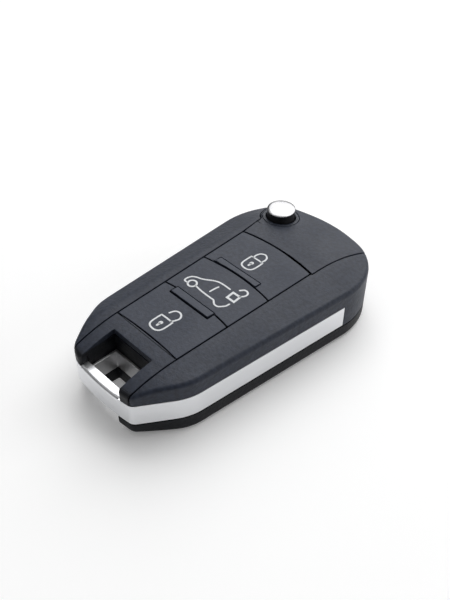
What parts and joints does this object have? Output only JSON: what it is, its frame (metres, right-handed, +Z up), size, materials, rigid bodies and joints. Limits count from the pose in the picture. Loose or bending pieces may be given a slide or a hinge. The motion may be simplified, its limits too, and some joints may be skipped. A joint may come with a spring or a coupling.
{
  "type": "flip key fob shell",
  "caption": "Flip key fob shell with sloping wings, a flat strip of buttons, a domed release button, a folding blank blade, a silver trim band and a keyring window.",
  "frame": {"origin": "on the surface that the fob lies on, under the spine's centre line, 35 mm from the keyring end's corners", "axes": "+Y from the keyring end to the head, +X to the right when the buttons face the reader and the keyring end is nearest, +Z up out of the buttons"},
  "size_m": [0.0395, 0.0713, 0.0166],
  "materials": {
    "case_plastic": "fine spark-eroded texture, dark slate grey",
    "lower_case_plastic": "fine spark-eroded texture, near black",
    "button_plastic": "fine texture with white line print",
    "trim_silver": "satin silver",
    "bright_chrome": "polished",
    "collar_plastic": "smooth",
    "inner_plastic": "smooth",
    "switch_rubber": "matte",
    "blade_steel": "nickel plated, fine lengthwise grain",
    "pivot_metal": "cast zinc, tumbled",
    "spring_steel": "drawn wire",
    "contact_brass": "stamped sheet"
  },
  "bodies": {
    "root": {"upper_housing": "case_plastic", "lower_housing": "lower_case_plastic", "keyring_surround": "case_plastic", "head_cap": "case_plastic", "keypad_mat": "switch_rubber", "board_carrier": "inner_plastic", "cell_spring_contact": "contact_brass", "cell_clip_contact": "contact_brass", "trim_band": "trim_silver", "keyring_liner": "bright_chrome", "collar_ring": "collar_plastic"},
    "blade": {"blade_barrel": "pivot_metal", "key_blade": "blade_steel", "blade_pin": "spring_steel", "flip_spring": "spring_steel"},
    "release": {"release_cap": "bright_chrome", "release_plunger": "inner_plastic"},
    "lock": {"button_lock": "button_plastic"},
    "side_door": {"button_side_door": "button_plastic"},
    "unlock": {"button_unlock": "button_plastic"}
  },
  "joints": [
    {"name": "blade_flip", "type": "hinge", "parent": "root", "child": "blade", "pos_m": [-0.009, 0.0272, 0.006], "axis": [0, 0, -1], "range_deg": [0, 180]},
    {"name": "release_press", "type": "slide", "parent": "blade", "child": "release", "axis": [0, 0, -1], "range_m": [0, 0.0016], "stiffness_N_per_m": 600, "springref_m": -0.0008, "deforming": ["flip_spring"]},
    {"name": "lock_press", "type": "slide", "parent": "root", "child": "lock", "axis": [0, 0, -1], "range_m": [0, 0.0004], "stiffness_N_per_m": 1500, "springref_m": -0.0002},
    {"name": "side_door_press", "type": "slide", "parent": "root", "child": "side_door", "axis": [0, 0, -1], "range_m": [0, 0.0004], "stiffness_N_per_m": 1500, "springref_m": -0.0002},
    {"name": "unlock_press", "type": "slide", "parent": "root", "child": "unlock", "axis": [0, 0, -1], "range_m": [0, 0.0004], "stiffness_N_per_m": 1500, "springref_m": -0.0002}
  ]
}
